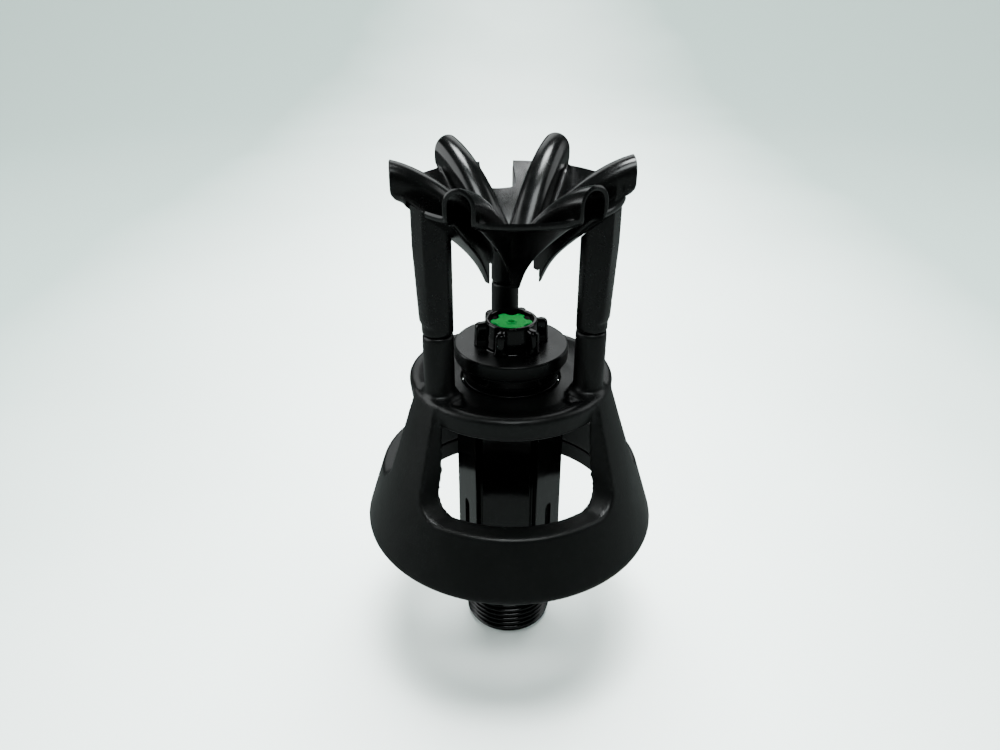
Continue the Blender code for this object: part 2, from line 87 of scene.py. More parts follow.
def copiedAround(points, azimuth, count):
    # flat points along +X, repeated a whole number of times about the Z axis, in order
    turn = planAngle(azimuth + 360.0 / count * np.arange(count))[:, None]
    x = points[:, 0] * np.cos(turn) - points[:, 1] * np.sin(turn)
    y = points[:, 0] * np.sin(turn) + points[:, 1] * np.cos(turn)
    return np.stack([x, y], axis=-1).reshape(-1, 2)


def surfaceObject(name, grid, wrapRows=True, merge=0.004):
    # quads between neighbouring rows and columns; columns always close on themselves
    rows, columns = grid.shape[:2]
    row = np.arange(rows if wrapRows else rows - 1)[:, None]
    column = np.arange(columns)[None, :]
    nextRow, nextColumn = (row + 1) % rows, (column + 1) % columns
    faces = np.stack([row * columns + column, row * columns + nextColumn,
                      nextRow * columns + nextColumn, nextRow * columns + column], axis=-1)
    mesh = bpy.data.meshes.new(name)
    mesh.from_pydata((grid.reshape(-1, 3) * mm).tolist(), [], faces.reshape(-1, 4).tolist())
    cleanMesh(mesh, merge)
    piece = bpy.data.objects.new(name, mesh)
    bpy.context.scene.collection.objects.link(piece)
    return piece


def cleanMesh(mesh, merge):
    shape = bmesh.new()
    shape.from_mesh(mesh)
    bmesh.ops.remove_doubles(shape, verts=shape.verts, dist=merge * mm)
    bmesh.ops.dissolve_degenerate(shape, edges=shape.edges, dist=0.0005 * mm)
    bmesh.ops.holes_fill(shape, edges=[edge for edge in shape.edges if edge.is_boundary], sides=0)
    bmesh.ops.recalc_face_normals(shape, faces=shape.faces)
    if shape.calc_volume(signed=True) < 0:
        bmesh.ops.reverse_faces(shape, faces=shape.faces)
    shape.to_mesh(mesh)
    shape.free()


def applyModifiers(piece):
    evaluated = piece.evaluated_get(bpy.context.evaluated_depsgraph_get())
    shaped = bpy.data.meshes.new_from_object(evaluated)
    before = piece.data
    piece.modifiers.clear()
    piece.data = shaped
    bpy.data.meshes.remove(before)


def cut(piece, tools, operation="DIFFERENCE"):
    # exact Boolean with each tool in turn; the tools are removed afterwards
    for tool in tools:
        step = piece.modifiers.new(tool.name, "BOOLEAN")
        step.operation = operation
        step.solver = "EXACT"
        step.object = tool
    applyModifiers(piece)
    for tool in tools:
        old = tool.data
        bpy.data.objects.remove(tool)
        bpy.data.meshes.remove(old)


def prism(name, outline, low, high, azimuth, radius=0.0):
    # a flat outline carried straight up between two heights, then placed by azimuth and radius
    grid = np.stack([np.column_stack([outline, np.full(len(outline), height)]) for height in (low, high)])
    return surfaceObject(name, placed(grid, azimuth, radius), wrapRows=False)


def finishPiece(piece, material, body, nodes, sharp=40.0):
    mesh = piece.data
    mesh.materials.clear()
    mesh.materials.append(material)
    mesh.polygons.foreach_set("use_smooth", np.ones(len(mesh.polygons), bool))
    mesh.set_sharp_from_angle(angle=math.radians(sharp))
    even = piece.modifiers.new("evenNormals", "WEIGHTED_NORMAL")
    even.keep_sharp = True
    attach(piece, body)
    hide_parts(*nodes)
    print("piece", piece.name, len(mesh.polygons), "faces")


# ---- materials

def addNode(tree, kind, **values):
    node = tree.nodes.new(kind)
    for key, value in values.items():
        if key in node.inputs:
            node.inputs[key].default_value = value
        else:
            setattr(node, key, value)
    return node


def remapped(tree, source, fromMin, fromMax, toMin=0.0, toMax=1.0):
    node = addNode(tree, "ShaderNodeMapRange")
    for key, value in (("From Min", fromMin), ("From Max", fromMax), ("To Min", toMin), ("To Max", toMax)):
        node.inputs[key].default_value = value
    tree.links.new(source, node.inputs["Value"])
    return node.outputs["Result"]


textureSize = dict(cloud=9.0, dustSpacing=1.7, dustColour=(0.35, 0.36, 0.35, 1.0))


def mouldedPlastic(name, look):
    # fine grain and slow waviness in the bump, cloudy roughness and tint, sparse dust specks
    material = bpy.data.materials.new(name)
    material.use_nodes = True
    tree = material.node_tree
    shader = tree.nodes["Principled BSDF"]
    shader.inputs["Metallic"].default_value = look.get("metallic", 0.0)
    shader.inputs["IOR"].default_value = look.get("ior", 1.5)
    coords = addNode(tree, "ShaderNodeTexCoord")
    grain = addNode(tree, "ShaderNodeTexNoise", Scale=1 / (look["grainSize"] * mm), Detail=3.0, Roughness=0.6)
    wave = addNode(tree, "ShaderNodeTexNoise", Scale=1 / (look["waveSize"] * mm), Detail=2.0, Roughness=0.5)
    cloudScale = 1 / (textureSize["cloud"] * mm)
    cloud = addNode(tree, "ShaderNodeTexNoise", Scale=cloudScale, Detail=6.0, Roughness=0.62)
    dust = addNode(tree, "ShaderNodeTexVoronoi", Scale=1 / (textureSize["dustSpacing"] * mm), Randomness=1.0)
    for texture in (grain, wave, cloud, dust):
        tree.links.new(coords.outputs["Object"], texture.inputs["Vector"])

    middle, swing = look["roughness"], look["roughnessSwing"]
    rough = remapped(tree, cloud.outputs["Fac"], 0.3, 0.7, middle - swing, middle + swing)
    tree.links.new(rough, shader.inputs["Roughness"])

    tint = addNode(tree, "ShaderNodeValToRGB")
    tint.color_ramp.elements[0].position = 0.35
    tint.color_ramp.elements[0].color = (*look["colour"], 1.0)
    tint.color_ramp.elements[1].position = 0.72
    tint.color_ramp.elements[1].color = (*look["lighter"], 1.0)
    tree.links.new(cloud.outputs["Fac"], tint.inputs["Fac"])
    speck = remapped(tree, dust.outputs["Distance"], 0.02, 0.07, look["dust"], 0.0)
    mix = addNode(tree, "ShaderNodeMix", data_type="RGBA")
    tree.links.new(speck, mix.inputs["Factor"])
    tree.links.new(tint.outputs["Color"], mix.inputs[6])
    mix.inputs[7].default_value = textureSize["dustColour"]
    tree.links.new(mix.outputs[2], shader.inputs["Base Color"])

    slow = addNode(tree, "ShaderNodeBump", Strength=1.0, Distance=look["waveDepth"] * mm)
    fine = addNode(tree, "ShaderNodeBump", Strength=1.0, Distance=look["grainDepth"] * mm)
    tree.links.new(wave.outputs["Fac"], slow.inputs["Height"])
    tree.links.new(grain.outputs["Fac"], fine.inputs["Height"])
    tree.links.new(slow.outputs["Normal"], fine.inputs["Normal"])
    tree.links.new(fine.outputs["Normal"], shader.inputs["Normal"])
    return material


satinBlack = mouldedPlastic("satinBlack", dict(
    colour=(0.0007, 0.0008, 0.0008), lighter=(0.0012, 0.0014, 0.0013), roughness=0.37, roughnessSwing=0.05,
    grainSize=0.62, grainDepth=0.045, waveSize=7.0, waveDepth=0.05, dust=0.08))
glossBlack = mouldedPlastic("glossBlack", dict(
    colour=(0.0005, 0.0005, 0.0005), lighter=(0.0008, 0.0008, 0.0008), roughness=0.12, roughnessSwing=0.04,
    grainSize=0.5, grainDepth=0.001, waveSize=5.0, waveDepth=0.03, dust=0.06))
deflectorBlack = mouldedPlastic("deflectorBlack", dict(
    colour=(0.0007, 0.0008, 0.0008), lighter=(0.0012, 0.0013, 0.0013), ior=1.6, roughness=0.215,
    roughnessSwing=0.06, grainSize=0.35, grainDepth=0.003, waveSize=6.0, waveDepth=0.05, dust=0.08))
flangeBlack = mouldedPlastic("flangeBlack", dict(
    colour=(0.0009, 0.0010, 0.0010), lighter=(0.0015, 0.0017, 0.0016), roughness=0.30, roughnessSwing=0.05,
    grainSize=0.3, grainDepth=0.004, waveSize=6.0, waveDepth=0.02, dust=0.08))
legBlack = mouldedPlastic("legBlack", dict(
    colour=(0.0007, 0.0008, 0.0008), lighter=(0.0012, 0.0013, 0.0013), roughness=0.27, roughnessSwing=0.05,
    grainSize=0.4, grainDepth=0.006, waveSize=6.0, waveDepth=0.04, dust=0.08))
greenPlastic = mouldedPlastic("greenPlastic", dict(
    colour=(0.0004, 0.30, 0.050), lighter=(0.0008, 0.36, 0.065), ior=1.25, roughness=0.5, roughnessSwing=0.05,
    grainSize=0.3, grainDepth=0.004, waveSize=3.0, waveDepth=0.02, dust=0.05))
whitePlastic = mouldedPlastic("whitePlastic", dict(
    colour=(0.70, 0.70, 0.66), lighter=(0.78, 0.78, 0.75), roughness=0.38, roughnessSwing=0.05,
    grainSize=0.3, grainDepth=0.004, waveSize=4.0, waveDepth=0.02, dust=0.0))
sealRubber = mouldedPlastic("sealRubber", dict(
    colour=(0.012, 0.012, 0.012), lighter=(0.02, 0.02, 0.02), roughness=0.78, roughnessSwing=0.06,
    grainSize=0.2, grainDepth=0.012, waveSize=3.0, waveDepth=0.03, dust=0.1))
plainSteel = mouldedPlastic("plainSteel", dict(
    colour=(0.48, 0.49, 0.50), lighter=(0.60, 0.61, 0.62), roughness=0.28, roughnessSwing=0.08,
    grainSize=0.25, grainDepth=0.004, waveSize=3.0, waveDepth=0.01, dust=0.0, metallic=1.0))
print("materials made")


# ---- deflector: six rounded ridges with flat webs between them

# each notch is (azimuth, half width, radius of its inner end)
deflectorShape = dict(
    ridgeAzimuth=37.0, topHalf=4.0, bottomHalf=2.9, ridgeLength=29.5, crestEnd=144.6, crestSlope=0.25,
    crestCurve=0.0207, webRim=27.2, webRimHeight=135.4, webSlope=0.85,
    tipRadius=8.2, tipDrop=4.45, tipReach=2.6,
    wallLift=1.1, wallFall=1.3, sheet=1.2, levels=56, rimBulge=0.28, notchLow=126.0, notchHigh=139.5,
    notchFar=32.0, notches=((-55.8, 4.6, 20.5), (84.2, 2.1, 24.8), (190.0, 4.6, 20.5)),
    chamber=[(0.0, 116.7), (3.0, 117.3), (7.9, 119.6), (7.9, 105.0), (0.0, 105.0)])


def crestHeight(along):
    # parabola that levels off towards the open end
    look = deflectorShape
    inward = look["ridgeLength"] - along
    return look["crestEnd"] - look["crestSlope"] * inward - look["crestCurve"] * inward ** 2


def webHeight(radius):
    # underside of a web: a cone, minus an exponential that bends it down near its tip
    look = deflectorShape
    cone = look["webRimHeight"] - look["webSlope"] * (look["webRim"] - radius)
    return cone - look["tipDrop"] * np.exp((look["tipRadius"] - radius) / look["tipReach"])


def climbThickness(heightOf, position):
    # vertical thickness of the sheet = its thickness times sqrt(1 + slope squared)
    slope = (heightOf(position + 0.1) - heightOf(position - 0.1)) / 0.2
    return deflectorShape["sheet"] * np.sqrt(1 + slope ** 2)


def deflectorFace(half, isTop, share):
    # one ridge with its two half webs, as (level, point, xyz) with the ridge along +X
    # web first, then wall, then round arch
    look = deflectorShape
    share = share[:, None]
    bisector = np.radians(30.0)
    meet = half / np.tan(bisector)
    wallEnd = np.sqrt(look["webRim"] ** 2 - half ** 2)

    def webLevel(radius):
        held = np.minimum(radius, look["webRim"])
        return webHeight(held) + (climbThickness(webHeight, held) if isTop else 0.0)

    foot = meet + share * (wallEnd - meet)
    radius = np.hypot(foot, half)
    turn = bisector + (np.arcsin(half / radius) - bisector) * np.linspace(0, 1, 12)[None, :]
    web = np.stack([radius * np.cos(turn), radius * np.sin(turn), webLevel(radius) + 0 * turn], axis=-1)

    across = half * np.sin(np.linspace(np.pi / 2, 0, 13))[None, :]
    rise = half * np.cos(np.linspace(np.pi / 2, 0, 13))[None, :] - half
    start = across / np.tan(bisector)
    along = start + share * (look["ridgeLength"] - start)
    crest = crestHeight(along) - (0.0 if isTop else climbThickness(crestHeight, along))
    arch = np.stack([along, across + 0 * along, crest + rise], axis=-1)

    low = meet + share * (look["ridgeLength"] - meet)
    lowLevel = webLevel(np.hypot(low, half)) + look["wallLift"] - look["wallFall"] * share ** 4
    wall = np.stack([low, 0 * low + half, lowLevel], axis=-1)
    upper = arch[:, :1]
    climb = np.linspace(0, 1, 6)[None, :-1, None]
    wall = wall + (upper - wall) * climb
    side = np.concatenate([web, wall, arch], axis=1)
    mirrored = side[:, -2:0:-1] * np.array([1.0, -1.0, 1.0])
    ridge = np.concatenate([side, mirrored], axis=1)
    angle = planAngle(look["ridgeAzimuth"] - 60.0 * np.arange(6))[None, :, None]
    x, y, z = ridge[:, None, :, 0], ridge[:, None, :, 1], ridge[:, None, :, 2]
    ring = np.stack([x * np.cos(angle) - y * np.sin(angle), x * np.sin(angle) + y * np.cos(angle),
                     z + 0 * angle], axis=-1)
    return ring.reshape(len(share), -1, 3)


def softenRows(grid, amount, passes):
    # each point moves part of the way to the middle of its two neighbours in the same row
    for _ in range(passes):
        middle = (np.roll(grid, 1, axis=1) + np.roll(grid, -1, axis=1)) / 2
        grid = grid + (middle - grid) * amount
    return grid


def makeDeflector():
    look = deflectorShape
    share = np.linspace(0, 1, look["levels"]) ** 1.15
    amount = (0.5 * np.clip(share / 0.06, 0, 1))[:, None, None]
    top = softenRows(deflectorFace(look["topHalf"], True, share), amount, 3)
    bottom = softenRows(deflectorFace(look["bottomHalf"], False, share), amount, 3)
    t = np.linspace(0, 1, 6)[1:-1, None, None]
    rim = (1 - t) * top[-1:] + t * bottom[-1:]
    outward = rim * np.array([1.0, 1.0, 0.0])
    outward = outward / np.linalg.norm(outward, axis=-1, keepdims=True)
    rim = rim + outward * look["rimBulge"] * np.sin(np.pi * t)
    grid = np.concatenate([top, rim, bottom[::-1]])
    piece = surfaceObject("deflectorShell", grid, wrapRows=False, merge=0.02)
    tools = [surfaceObject("jetChamber", turnedGrid(np.array(look["chamber"]), 72), wrapRows=False)]
    for azimuth, half, start in look["notches"]:
        far = look["notchFar"]
        outline = roundedLoop([(half, -far), (-half, -far), (-half, -start), (half, -start)], 1.9, 7)
        tools.append(prism("notch", outline, look["notchLow"], look["notchHigh"], azimuth))
    cut(piece, tools)
    cleanMesh(piece.data, 0.004)
    finishPiece(piece, deflectorBlack, "wobbler", ["deflector"], 35.0)


makeDeflector()


# ---- cage: hub ring, three lugs, cone and skirt, with a stub on a flat pad for each leg

legAzimuths = (-55.0, 65.0, 185.0)
postCircle = 22.4

# window: height of its sill, radius of its lower corners, then heights and inner radii of the rings above
cageShape = dict(
    section=[(26.2, 87.1), (27.4, 86.7), (27.78, 85.6), (41.8, 41.0), (41.5, 40.0), (40.1, 40.0),
             (35.33, 55.2), (32.7, 55.2), (32.7, 46.3), (31.0, 46.3), (31.0, 56.5), (27.8, 67.0),
             (26.0, 80.7), (24.5, 80.9),
             (20.0, 81.5), (16.5, 82.0), (13.3, 82.0), (13.3, 85.4), (18.5, 84.3), (21.5, 84.9), (23.9, 86.0),
             (25.2, 87.0)],
    sill=57.5, corner=7.0, lugHalfLow=8.0, lugHalfTop=5.3, lugRise=22.5,
    windowHeights=[72.0, 80.7, 80.75, 86.4],
    windowInner=[20.0, 20.0, 27.1, 27.8], windowFar=50.0, windowApex=90.0,
    stubRadius=4.0, stubTop=103.8, voxel=0.55, softening=5,
    pad=[(7.4, -26.9), (-7.4, -26.9), (-6.4, -18.3), (6.4, -18.3)], padLow=82.6, padHigh=86.95)


def lugHalfWidth(height):
    # tapers upwards, and flares into the sill with a round corner
    look = cageShape
    low, top, corner = look["lugHalfLow"], look["lugHalfTop"], look["corner"]
    cornerTop = look["sill"] + corner
    upper = low + (top - low) * (height - cornerTop) / look["lugRise"]
    drop = np.clip(cornerTop - height, 0, corner)
    return np.where(height >= cornerTop, upper, low + corner - np.sqrt(corner ** 2 - drop ** 2))


def windowTool(azimuth):
    # the wedge between two lugs: rings with an inner arc, two far corners and an apex, lofted upwards
    look = cageShape
    drop = look["corner"] * (1 - np.cos(np.radians(np.linspace(0, 90, 10))))
    heights = np.concatenate([look["sill"] + drop, look["windowHeights"]])
    inner = np.concatenate([np.full(len(drop), look["windowInner"][0]), look["windowInner"]])
    half = lugHalfWidth(heights)
    side = np.radians(60.0)
    spread = (side - np.arcsin(np.clip(half / inner, 0, 1)))[:, None] * np.linspace(-1, 1, 15)[None, :]
    arcX, arcY = inner[:, None] * np.sin(spread), -inner[:, None] * np.cos(spread)
    farX = (look["windowFar"] * np.sin(side) - half * np.cos(side))[:, None]
    farY = -(look["windowFar"] * np.cos(side) + half * np.sin(side))[:, None]
    x = np.concatenate([arcX, farX, 0 * farX, -farX], axis=1)
    y = np.concatenate([arcY, farY, 0 * farY - look["windowApex"], farY], axis=1)
    rings = np.stack([x, y, heights[:, None] + 0 * x], axis=-1)
    return surfaceObject("windowTool", placed(rings, azimuth), wrapRows=False)


def turnedTool(name, profile, turns, azimuth):
    # a profile from axis to axis, turned about the axis of a leg
    grid = placed(turnedGrid(np.array(profile), turns), azimuth, postCircle)
    return surfaceObject(name, grid, wrapRows=False)


def makeCage():
    look = cageShape
    radius, top = look["stubRadius"], look["stubTop"]
    stub = [(0, 82.2), (radius + 1.2, 82.2), (radius + 1.2, 86.2), (radius + 0.8, 86.9),
            (radius + 0.15, 87.4), (radius, 88.5), (radius, top - 0.25), (radius - 0.25, top), (0, top)]
    screwHole = [(0, 70.0), (3.1, 70.0), (3.1, 84.0), (1.8, 84.0), (1.8, top + 1), (0, top + 1)]
    pad = roundedLoop(look["pad"], 2.4, 6)
    piece = surfaceObject("cageBody", turnedGrid(roundedLoop(look["section"], 0.5, 4), 180))
    cut(piece, [windowTool(azimuth + 60.0) for azimuth in legAzimuths])
    added, removed = [], []
    for azimuth in legAzimuths:
        added.append(prism("pad", pad, look["padLow"], look["padHigh"], azimuth))
        added.append(turnedTool("stub", stub, 48, azimuth))
        removed.append(turnedTool("hole", screwHole, 32, azimuth))
    cut(piece, added, "UNION")
    cut(piece, removed)
    # an even voxel surface, then smoothing, rounds every edge of the moulding
    remesh = piece.modifiers.new("evenSurface", "REMESH")
    remesh.mode = "VOXEL"
    remesh.voxel_size = look["voxel"] * mm
    soften = piece.modifiers.new("soften", "SMOOTH")
    soften.factor = 0.5
    soften.iterations = look["softening"]
    applyModifiers(piece)
    finishPiece(piece, satinBlack, "wobbler", ["cage"], 70.0)


makeCage()


# ---- turned pieces: a closed section (radius, height) with rounded corners, carried round the axis

def turnedPiece(name, corners, reach, turns, material, body, node):
    piece = surfaceObject(name, turnedGrid(roundedLoop(corners, reach, 5), turns))
    finishPiece(piece, material, body, [node])


def sphereArc(radius, rises):
    # points of a sphere's section centred on the pivot
    return [(math.sqrt(radius ** 2 - rise ** 2), pivotHeight + rise) for rise in rises]


pivotHeight = 83.7
ballSection = sphereArc(10.6, np.linspace(3.3, -3.3, 13)) + [(8.3, 80.4), (8.3, 87.0)]
bushingSection = [(13.0, 85.5), (13.0, 81.9)] + sphereArc(10.9, np.linspace(-1.8, 1.8, 9))

turnedPiece("flangeRing", [(8.3, 91.0), (14.7, 91.0), (15.3, 91.5), (15.3, 94.8), (15.0, 95.3), (8.3, 95.3)],
            0.2, 192, flangeBlack, "riser", "retaining_flange")
turnedPiece("upperRace", [(8.3, 87.3), (12.6, 87.3), (12.9, 87.7), (13.7, 88.1), (13.7, 90.2), (13.3, 90.7),
                          (8.3, 90.7)], 0.2, 192, glossBlack, "riser", "upper_race")
turnedPiece("lowerRace", [(8.3, 79.0), (15.0, 79.0), (15.0, 80.0), (8.3, 80.0)],
            0.25, 144, plainSteel, "riser", "lower_race")
turnedPiece("bearingBall", ballSection, 0.15, 144, satinBlack, "bearing", "bearing_ring")
turnedPiece("hubBushing", bushingSection, 0.2, 144, satinBlack, "bushing", "hub_bushing")
turnedPiece("weightCover", [(38.9, 43.2), (39.64, 40.8), (31.0, 40.8), (31.0, 46.0), (32.4, 46.0),
                            (32.4, 43.2)], 0.35, 192, satinBlack, "wobbler", "weight_cover")
turnedPiece("inletSeal", [(8.2, 34.3), (10.0, 34.3), (10.0, 35.8), (8.2, 35.8)],
            0.45, 96, sealRubber, "riser", "inlet_seal")
turnedPiece("nozzleSeal", [(4.5, 87.2), (5.9, 87.2), (5.9, 88.6), (4.5, 88.6)],
            0.4, 72, sealRubber, "nozzle", "nozzle_seal")


# ---- inlet adapter: taper thread, hexagon collar and spigot

# mouth, relief and spigot are (radius, height); collar is (share of the hexagon's radius, height)
adapterShape = dict(
    crest=12.95, taper=1 / 32, depth=1.1, pitch=1.814, threadLow=0.35, threadTop=12.1,
    root=11.85, rootFall=0.35,
    startRadius=11.95, startRise=1.3, startLength=1.6, runOut=1.4, flat=13.2, cornerRadius=14.9,
    cornerAzimuth=26.0, turns=180, levels=112,
    mouth=[(8.2, 0.9), (8.35, 0.35), (8.8, 0.0), (11.2, 0.0), (11.6, 0.1)],
    relief=[(11.85, 12.5), (11.85, 13.4), (12.2, 13.95)],
    collar=[(0.93, 14.0), (0.985, 14.15), (1.0, 14.6), (1.0, 23.4), (0.985, 23.85), (0.95, 24.0)],
    spigot=[(11.2, 24.0), (10.6, 24.2), (10.4, 24.6), (10.4, 33.2), (10.25, 33.7), (9.9, 34.0), (8.5, 34.0),
            (8.2, 33.7)])


def threadRadius(height, angle):
    # a crest cone minus a rounded V groove whose phase follows height and angle, faded in and out at its ends
    look = adapterShape
    phase = (height / look["pitch"] - angle / (2 * np.pi)) % 1.0
    groove = np.clip(np.abs(phase - 0.5) * 2.3 - 0.12, 0, 1)
    groove = groove * groove * (3 - 2 * groove)
    start = np.clip((height - 0.1) / look["startLength"], 0, 1)
    fade = 1 - np.clip((look["threadTop"] - height) / look["runOut"], 0, 1)
    chamfer = look["startRadius"] + look["startRise"] * start
    crest = np.minimum(look["crest"] + look["taper"] * height, chamfer)
    crest = crest - look["depth"] * fade * fade
    return np.maximum(crest - look["depth"] * groove, look["root"] - look["rootFall"] * (1 - start))


def makeInletAdapter():
    look = adapterShape
    angle = np.linspace(0, 2 * np.pi, look["turns"], endpoint=False)
    levels = np.linspace(look["threadLow"], look["threadTop"], look["levels"])
    thread = threadRadius(levels[:, None], angle[None, :])
    # collar: distance to the nearest of six flats, held inside a circle that chamfers the corners
    around = (angle - planAngle(look["cornerAzimuth"])) % (np.pi / 3) - np.pi / 6
    hexagon = np.minimum(look["flat"] / np.cos(around), look["cornerRadius"])
    rows = look["mouth"] + list(zip(thread, levels)) + look["relief"]
    rows += [(hexagon * share, height) for share, height in look["collar"]] + look["spigot"]
    grid = np.stack([roundRow(radius, angle, height) for radius, height in rows])
    piece = surfaceObject("inletAdapter", grid)
    finishPiece(piece, glossBlack, "riser", ["inlet_adapter"], 50.0)


makeInletAdapter()


# ---- riser column: hexagon with a groove down each corner, round neck and waterway

# waterway is (radius, height), downwards
columnShape = dict(
    flat=13.6, grooveHalf=1.0, grooveFloor=13.0, cornerAzimuth=26.0, edge=0.35, low=24.3, shoulder=78.7,
    neck=8.0, neckTop=95.0,
    waterway=[(6.5, 95.0), (6.2, 94.7), (6.2, 86.9), (4.4, 86.9), (4.4, 86.0), (6.0, 84.5),
              (6.0, 42.0), (8.2, 36.1), (10.7, 36.1), (10.7, 24.6), (11.0, 24.3)],
    pocketHalf=1.5, pocketLow=20.0, pocketHigh=45.3, pocketInner=12.4, pocketOuter=20.0,
    pocketAzimuths=(-64.0, 56.0, 176.0))


def columnOutline():
    # grooved hexagon; sides longer than 4 mm are cut into short steps
    look = columnShape
    half, floor = look["grooveHalf"], look["grooveFloor"]
    lip = (look["flat"] - 0.5 * half) / math.cos(math.radians(30.0))
    groove = np.array([(lip, -half), (floor, -half), (floor, half), (lip, half)])
    outline = roundedLoop(copiedAround(groove, look["cornerAzimuth"], 6), 0.42, 6)
    parts = []
    for point, following in zip(outline, np.roll(outline, -1, axis=0)):
        steps = 12 if np.linalg.norm(following - point) > 4.0 else 1
        parts.append(point + (following - point) * np.linspace(0, 1, steps, endpoint=False)[:, None])
    return np.concatenate(parts)


def archTool(azimuth):
    # pocket: a slot with a round top, open at the foot
    look = columnShape
    half, low = look["pocketHalf"], look["pocketLow"]
    arch = np.radians(np.linspace(0, 180, 15))
    side = np.concatenate([[half], half * np.cos(arch), [-half]])
    rise = np.concatenate([[low], look["pocketHigh"] + half * np.sin(arch), [low]])
    profile = np.stack([np.column_stack([side, np.full(len(side), -reach), rise])
                        for reach in (look["pocketInner"], look["pocketOuter"])])
    return surfaceObject("archPocket", placed(profile, azimuth), wrapRows=False)


def makeRiserColumn():
    look = columnShape
    low, shoulder, neck, top, edge = (look[key] for key in ("low", "shoulder", "neck", "neckTop", "edge"))
    outline = columnOutline()
    # the round rows share the outline's angles, kept from running backwards inside the grooves
    angle = np.maximum.accumulate(np.unwrap(np.arctan2(outline[:, 1], outline[:, 0])))
    ring = np.stack([np.cos(angle), np.sin(angle)], axis=-1)
    inside = outline * (1 - edge / np.linalg.norm(outline, axis=1, keepdims=True))
    rows = [(inside, low), (outline, low + edge)]
    rows += [(outline, height) for height in np.linspace(low + 1.5, shoulder - 1.5, 12)]
    rows += [(outline, shoulder - edge), (inside * 0.995, shoulder - 0.08), (inside * 0.98, shoulder),
             (ring * (neck + 0.5), shoulder), (ring * (neck + 0.12), shoulder + 0.15),
             (ring * neck, shoulder + 0.5), (ring * neck, top - 0.3), (ring * (neck - 0.3), top)]
    rows += [(ring * radius, height) for radius, height in look["waterway"]]
    grid = np.stack([np.column_stack([points, np.full(len(points), height)]) for points, height in rows])
    piece = surfaceObject("riserColumn", grid)
    cut(piece, [archTool(azimuth) for azimuth in look["pocketAzimuths"]])
    finishPiece(piece, glossBlack, "riser", ["riser_column"], 38.0)


makeRiserColumn()


# ---- nozzle cap: round body, bayonet stem, six rounded wings

# levels are (body radius, wing radius, half width of a wing, height), up the outside
# plain ones are (body radius, height), over the rim and down the bore
capShape = dict(
    wings=6, wingAzimuth=-18.0, endRound=0.7, plainHalf=0.3, plainRise=0.04,
    levels=[(7.3, 7.32, 1.4, 95.4), (7.5, 7.52, 1.5, 95.42), (7.5, 10.0, 1.8, 95.5), (7.45, 10.1, 1.75, 95.7),
            (7.4, 10.0, 1.5, 96.2), (7.35, 10.0, 1.36, 97.0), (7.3, 9.98, 1.3, 98.0), (7.2, 9.95, 1.3, 99.0),
            (7.12, 9.92, 1.29, 100.0), (7.08, 9.85, 1.27, 100.6), (7.05, 9.7, 1.2, 101.0),
            (7.02, 9.45, 1.05, 101.3), (7.0, 9.1, 0.85, 101.48), (6.98, 8.6, 0.6, 101.58),
            (6.97, 7.9, 0.4, 101.62)],
    plain=[(6.96, 101.66), (6.94, 101.72), (6.86, 101.98), (6.7, 102.15), (6.45, 102.2), (6.1, 102.15),
           (5.95, 101.95), (5.9, 101.7), (5.9, 99.9), (4.6, 99.9), (4.6, 88.9), (5.7, 88.9), (5.9, 89.2),
           (5.9, 95.4)])


def wingedRow(bodyRadius, tipRadius, half, height):
    # body arc, side of the wing, rounded end, and back again, for each wing
    look = capShape
    rootAngle = math.asin(half / bodyRadius)
    root = math.sqrt(bodyRadius ** 2 - half ** 2)
    tip = max(tipRadius - look["endRound"], root + 0.02)
    arc = np.linspace(-math.pi / 6, -rootAngle, 9)[:-1]
    arcPart = np.column_stack([bodyRadius * np.cos(arc), bodyRadius * np.sin(arc)])
    reach = np.linspace(root, tip, 7)
    sidePart = np.column_stack([reach, np.full(len(reach), -half)])
    sweep = np.linspace(-math.pi / 2, math.pi / 2, 7)[1:-1]
    endPart = np.column_stack([tip + (tipRadius - tip) * np.cos(sweep), half * np.sin(sweep)])
    mirrored = np.concatenate([arcPart[1:], sidePart])[::-1] * np.array([1.0, -1.0])
    segment = np.concatenate([arcPart, sidePart, endPart, mirrored])
    outline = copiedAround(segment, look["wingAzimuth"], look["wings"])
    return np.column_stack([outline, np.full(len(outline), height)])


def makeNozzleCap():
    look = capShape
    levels = look["levels"] + [(radius, radius + look["plainRise"], look["plainHalf"], height)
                               for radius, height in look["plain"]]
    piece = surfaceObject("nozzleCap", np.stack([wingedRow(*level) for level in levels]))
    finishPiece(piece, glossBlack, "nozzle", ["nozzle_cap"], 45.0)


makeNozzleCap()


# ---- nozzle insert: six-lobed disc with a ring round its orifice

# bore and barrel are (radius, share of the lobes' shape, height); edge is (share of their radius, height)
insertShape = dict(
    lobeAzimuth=30.0, middle=4.9, swing=0.75, power=0.45,
    bore=[(0.80, 0.0, 95.6), (0.80, 0.0, 100.9), (0.95, 0.0, 101.25), (1.25, 0.0, 101.35), (1.42, 0.0, 101.3),
          (1.55, 0.0, 101.12), (1.8, 0.0, 101.1), (3.4, 0.35, 101.14)],
    edge=[(0.93, 101.16), (0.975, 101.12), (1.0, 100.95), (1.0, 100.4), (0.97, 100.22)],
    barrel=[(4.3, 0.0, 100.2), (4.3, 0.0, 96.0), (3.4, 0.0, 95.6)])


